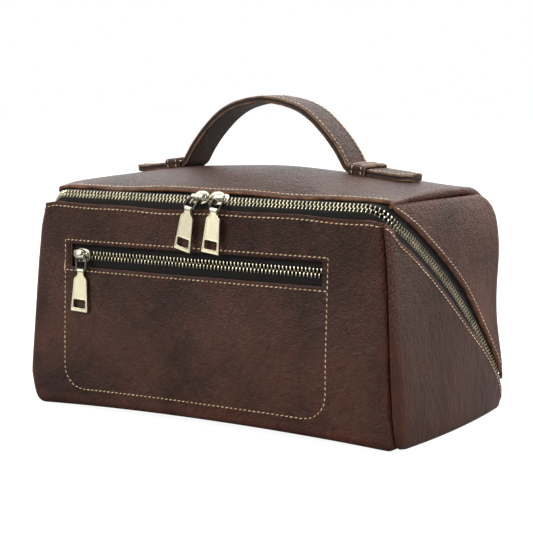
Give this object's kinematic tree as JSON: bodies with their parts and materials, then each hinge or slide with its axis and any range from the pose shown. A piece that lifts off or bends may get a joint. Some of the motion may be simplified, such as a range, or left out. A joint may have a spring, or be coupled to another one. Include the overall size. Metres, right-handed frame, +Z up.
{
  "type": "toiletry bag",
  "caption": "Leather shaving kit bag with a wedge opening, a zip across the front and down both sides, a zipped front pocket and a carry handle on the lid.",
  "frame": {"origin": "middle of the base on the table", "axes": "+X to the bag's right along its length, +Y to the back, +Z up"},
  "size_m": [0.2598, 0.1381, 0.1917],
  "materials": {
    "leather": "semi-gloss brown pull-up leather with fine grain, burnished edges and tan stitching",
    "lining": "plain dark woven lining",
    "zip_tape": "black herringbone zip tape",
    "board": "fibre board, matt",
    "teeth": "pale antique brass teeth",
    "slider": "antique brass, darkened in the recesses",
    "link": "dark nickel wire",
    "puller": "brushed antique brass"
  },
  "bodies": {
    "base": {"back_fold": "leather", "base_board": "board", "base_gusset_left": "leather", "base_gusset_right": "leather", "base_lining": "lining", "bottom_panel": "leather", "front_panel": "leather", "main_tape_base": "zip_tape", "main_teeth_base": "teeth", "pocket_lining": "lining", "pocket_tape_lower": "zip_tape", "pocket_tape_upper": "zip_tape", "pocket_teeth_lower": "teeth", "pocket_teeth_upper": "teeth"},
    "lid": {"top_panel": "leather", "back_panel": "leather", "lid_gusset_left": "leather", "lid_gusset_right": "leather", "lid_lining": "lining", "main_tape_lid": "zip_tape", "main_teeth_lid": "teeth", "handle_tab_left": "leather", "handle_tab_right": "leather", "handle_leg_left": "leather", "handle_leg_right": "leather", "keeper_left": "leather", "keeper_right": "leather"},
    "handle": {"handle_crown": "leather"},
    "left_slider": {"left_slider": "slider"},
    "left_link": {"left_link": "link"},
    "left_puller": {"left_puller": "puller"},
    "right_slider": {"right_slider": "slider"},
    "right_link": {"right_link": "link"},
    "right_puller": {"right_puller": "puller"},
    "pocket_slider": {"pocket_slider": "slider"},
    "pocket_link": {"pocket_link": "link"},
    "pocket_puller": {"pocket_puller": "puller"}
  },
  "joints": [
    {"name": "lid_hinge", "type": "hinge", "parent": "base", "child": "lid", "pos_m": [0, 0.066, 0.003], "axis": [-1, 0, 0], "range_deg": [0, 90]},
    {"name": "handle_press", "type": "slide", "parent": "lid", "child": "handle", "axis": [0, 0, -1], "range_m": [0, 0.027], "stiffness_N_per_m": 150, "springref_m": -0.002, "deforming": ["handle_leg_left", "handle_leg_right"]},
    {"name": "left_zip_slide", "type": "slide", "parent": "base", "child": "left_slider", "axis": [-1, 0, 0], "range_m": [0, 0.097]},
    {"name": "left_link_swing", "type": "hinge", "parent": "left_slider", "child": "left_link", "pos_m": [-0.0054, -0.06347, 0.13413], "axis": [0, 0.8283, -0.5602], "range_deg": [-4, 3]},
    {"name": "left_puller_lift", "type": "hinge", "parent": "left_link", "child": "left_puller", "pos_m": [-0.00748, -0.06814, 0.12722], "axis": [-0.9703, 0.1355, 0.2004], "range_deg": [0, 100]},
    {"name": "right_zip_slide", "type": "slide", "parent": "base", "child": "right_slider", "axis": [1, 0, 0], "range_m": [0, 0.092]},
    {"name": "right_link_swing", "type": "hinge", "parent": "right_slider", "child": "right_link", "pos_m": [0.0117, -0.06347, 0.13413], "axis": [0, -0.8283, 0.5602], "range_deg": [-4, 24]},
    {"name": "right_puller_lift", "type": "hinge", "parent": "right_link", "child": "right_puller", "pos_m": [0.0105, -0.06824, 0.12707], "axis": [-0.9903, 0.078, 0.1153], "range_deg": [0, 100]},
    {"name": "pocket_zip_slide", "type": "slide", "parent": "base", "child": "pocket_slider", "axis": [1, 0, 0], "range_m": [0, 0.162]},
    {"name": "pocket_link_swing", "type": "hinge", "parent": "pocket_slider", "child": "pocket_link", "pos_m": [-0.0876, -0.06758, 0.09433], "axis": [0, -0.9996, 0.0278], "range_deg": [-28, 28]},
    {"name": "pocket_puller_lift", "type": "hinge", "parent": "pocket_link", "child": "pocket_puller", "pos_m": [-0.08797, -0.06782, 0.08574], "axis": [-0.999, 0.0012, 0.0436], "range_deg": [0, 100]}
  ]
}
